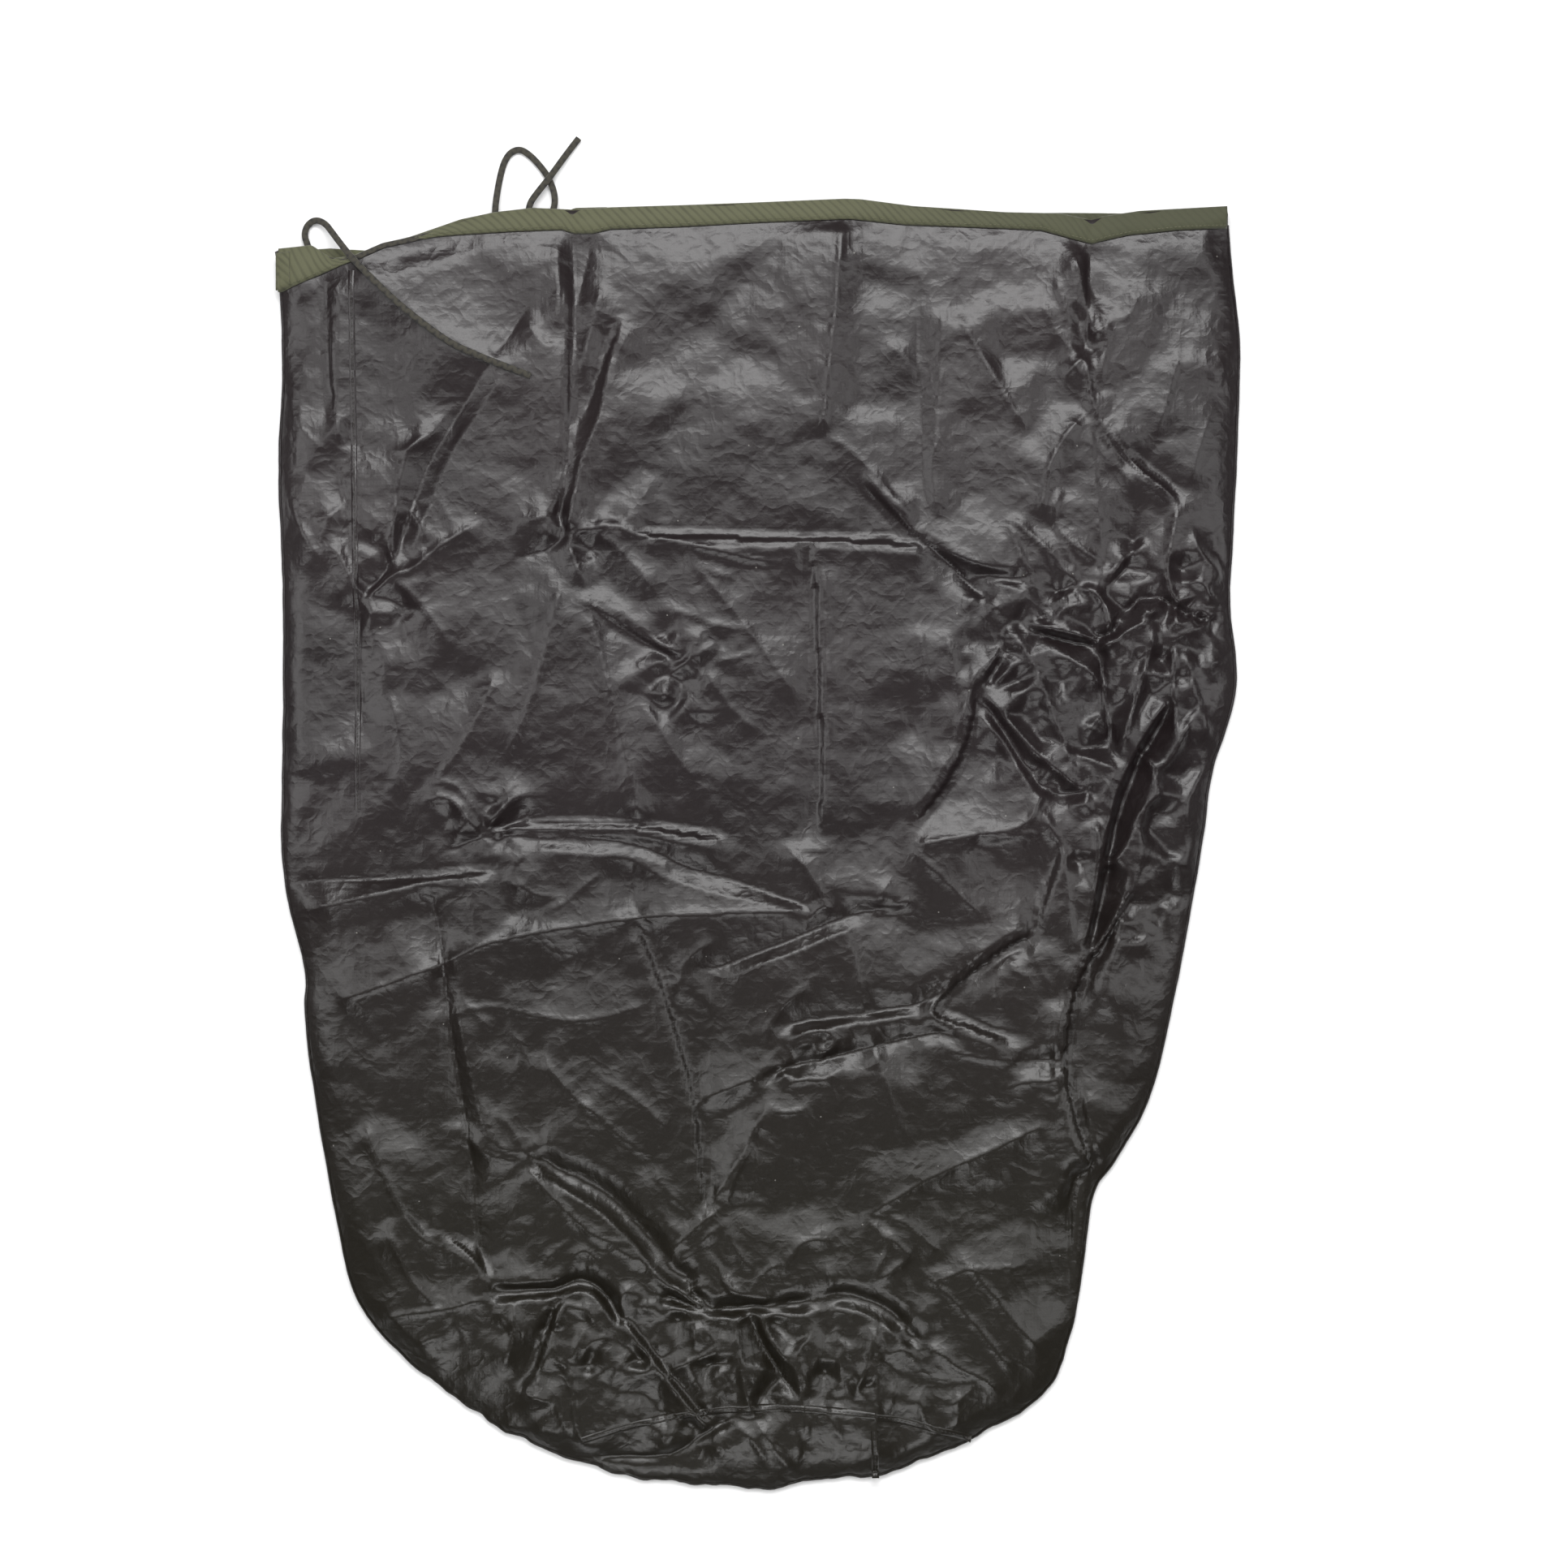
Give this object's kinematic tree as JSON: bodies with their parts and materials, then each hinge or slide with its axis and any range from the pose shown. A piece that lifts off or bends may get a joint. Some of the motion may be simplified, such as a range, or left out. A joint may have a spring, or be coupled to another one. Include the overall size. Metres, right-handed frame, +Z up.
{
  "type": "bivy sack",
  "caption": "Waterproof sleeping sack laid flat, with a rounded foot, a tape-bound mouth that opens, and a flat braided drawcord.",
  "frame": {"origin": "on the floor, under the middle of the sack, the drawcord's free ends left out", "axes": "+Z up through the sack as it lies flat, +Y from the foot to the mouth, +X to the right seen from above"},
  "size_m": [0.786, 1.1014, 0.0253],
  "materials": {
    "coated_cloth": "semi-gloss polyurethane coating on nylon, deeply creased",
    "woven_tape": "twill-woven nylon tape",
    "braided_cord": "flat tubular nylon braid",
    "thread": "polyester sewing thread"
  },
  "bodies": {
    "back": {"back_panel": "coated_cloth", "left_side_fold": "coated_cloth", "right_side_fold": "coated_cloth", "foot_panel": "coated_cloth", "foot_seam_lap": "coated_cloth", "foot_seam_stitches": "thread", "foot_dart_lap": "coated_cloth", "foot_dart_stitches": "thread", "back_binding": "woven_tape", "back_binding_stitches": "thread", "binding_lap": "woven_tape", "binding_lap_stitches": "thread", "drawcord_back_run": "braided_cord", "right_cord_buttonhole": "thread", "drawcord_right_tail": "braided_cord"},
    "front": {"front_panel": "coated_cloth", "long_seam_lap": "coated_cloth", "long_seam_stitches": "thread", "front_binding": "woven_tape", "front_binding_stitches": "thread", "drawcord_front_run": "braided_cord", "left_cord_buttonhole": "thread", "drawcord_left_tail": "braided_cord"}
  },
  "joints": [
    {"name": "mouth_open", "type": "hinge", "parent": "back", "child": "front", "pos_m": [0, -0.4495, 0.0213], "axis": [1, 0, 0], "range_deg": [0, 9]}
  ]
}
